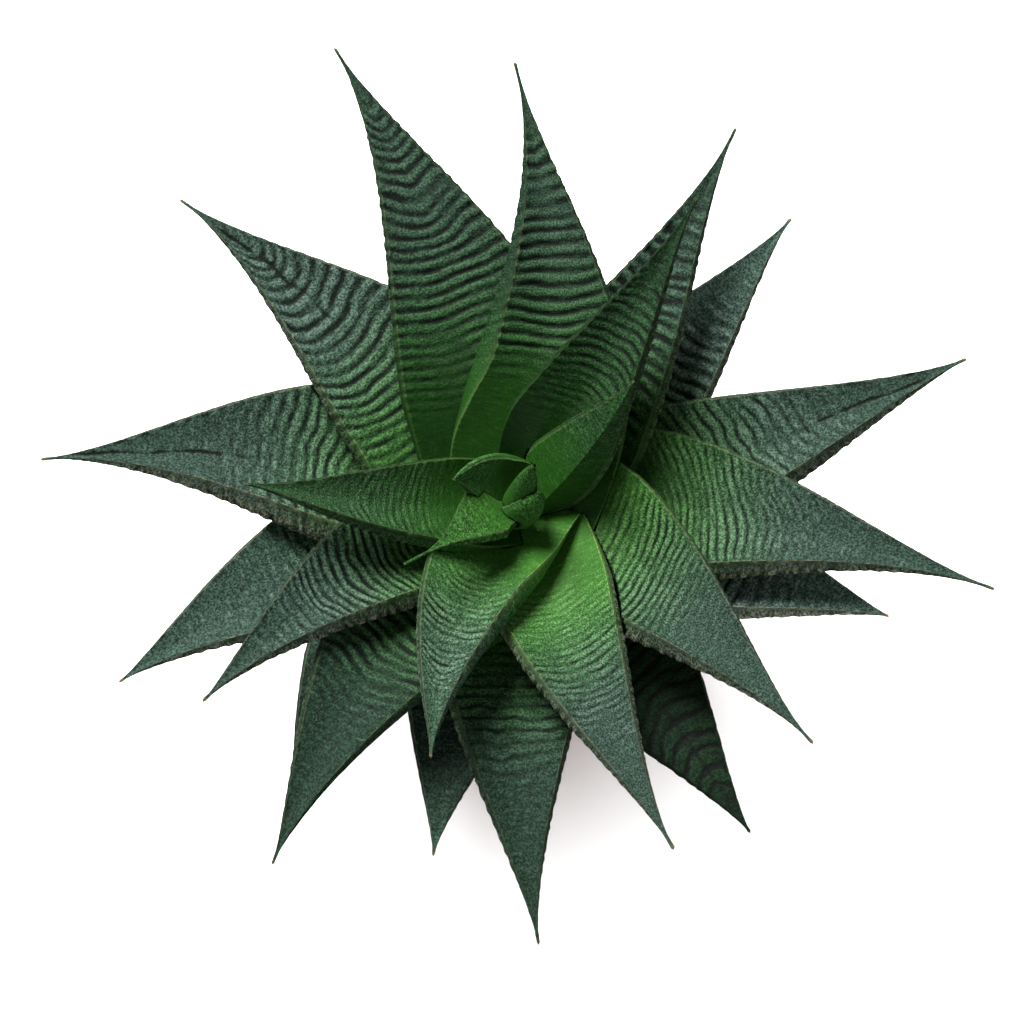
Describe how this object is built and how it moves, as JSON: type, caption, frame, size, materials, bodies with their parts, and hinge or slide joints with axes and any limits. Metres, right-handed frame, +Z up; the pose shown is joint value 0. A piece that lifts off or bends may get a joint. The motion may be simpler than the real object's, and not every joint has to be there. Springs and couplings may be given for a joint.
{
  "type": "potted haworthia",
  "caption": "Rosette of pointed, thick, cross-ridged succulent leaves on a short stem, in soil in a plain small round terracotta pot.",
  "frame": {"origin": "middle of the pot's flat underside", "axes": "+Z up along the stem, +X to the right and +Y to the top of the picture, which looks down on the plant"},
  "size_m": [0.1193, 0.1148, 0.0778],
  "materials": {
    "terracotta": "matte, unglazed",
    "soil": "rough, gritty",
    "stem": "matte",
    "young_leaf": "satin, bright green",
    "middle_leaf": "satin green with pale frosty ridges",
    "old_leaf": "satin dark green with pale frosty ridges"
  },
  "bodies": {
    "root": {"pot": "terracotta", "soil": "soil", "stem": "stem", "leaf_01": "young_leaf", "leaf_02": "young_leaf", "leaf_03": "young_leaf", "leaf_04": "young_leaf", "leaf_05": "young_leaf", "leaf_06": "middle_leaf", "leaf_07": "middle_leaf", "leaf_08": "middle_leaf", "leaf_09": "middle_leaf", "leaf_10": "middle_leaf", "leaf_11": "middle_leaf", "leaf_12": "middle_leaf", "leaf_13": "middle_leaf", "leaf_14": "middle_leaf", "leaf_15": "old_leaf", "leaf_16": "old_leaf", "leaf_17": "old_leaf", "leaf_18": "old_leaf", "leaf_19": "old_leaf", "leaf_20": "old_leaf", "leaf_21": "old_leaf", "leaf_22": "old_leaf", "leaf_23": "old_leaf", "leaf_24": "old_leaf", "leaf_25": "old_leaf", "leaf_26": "old_leaf"}
  },
  "joints": []
}
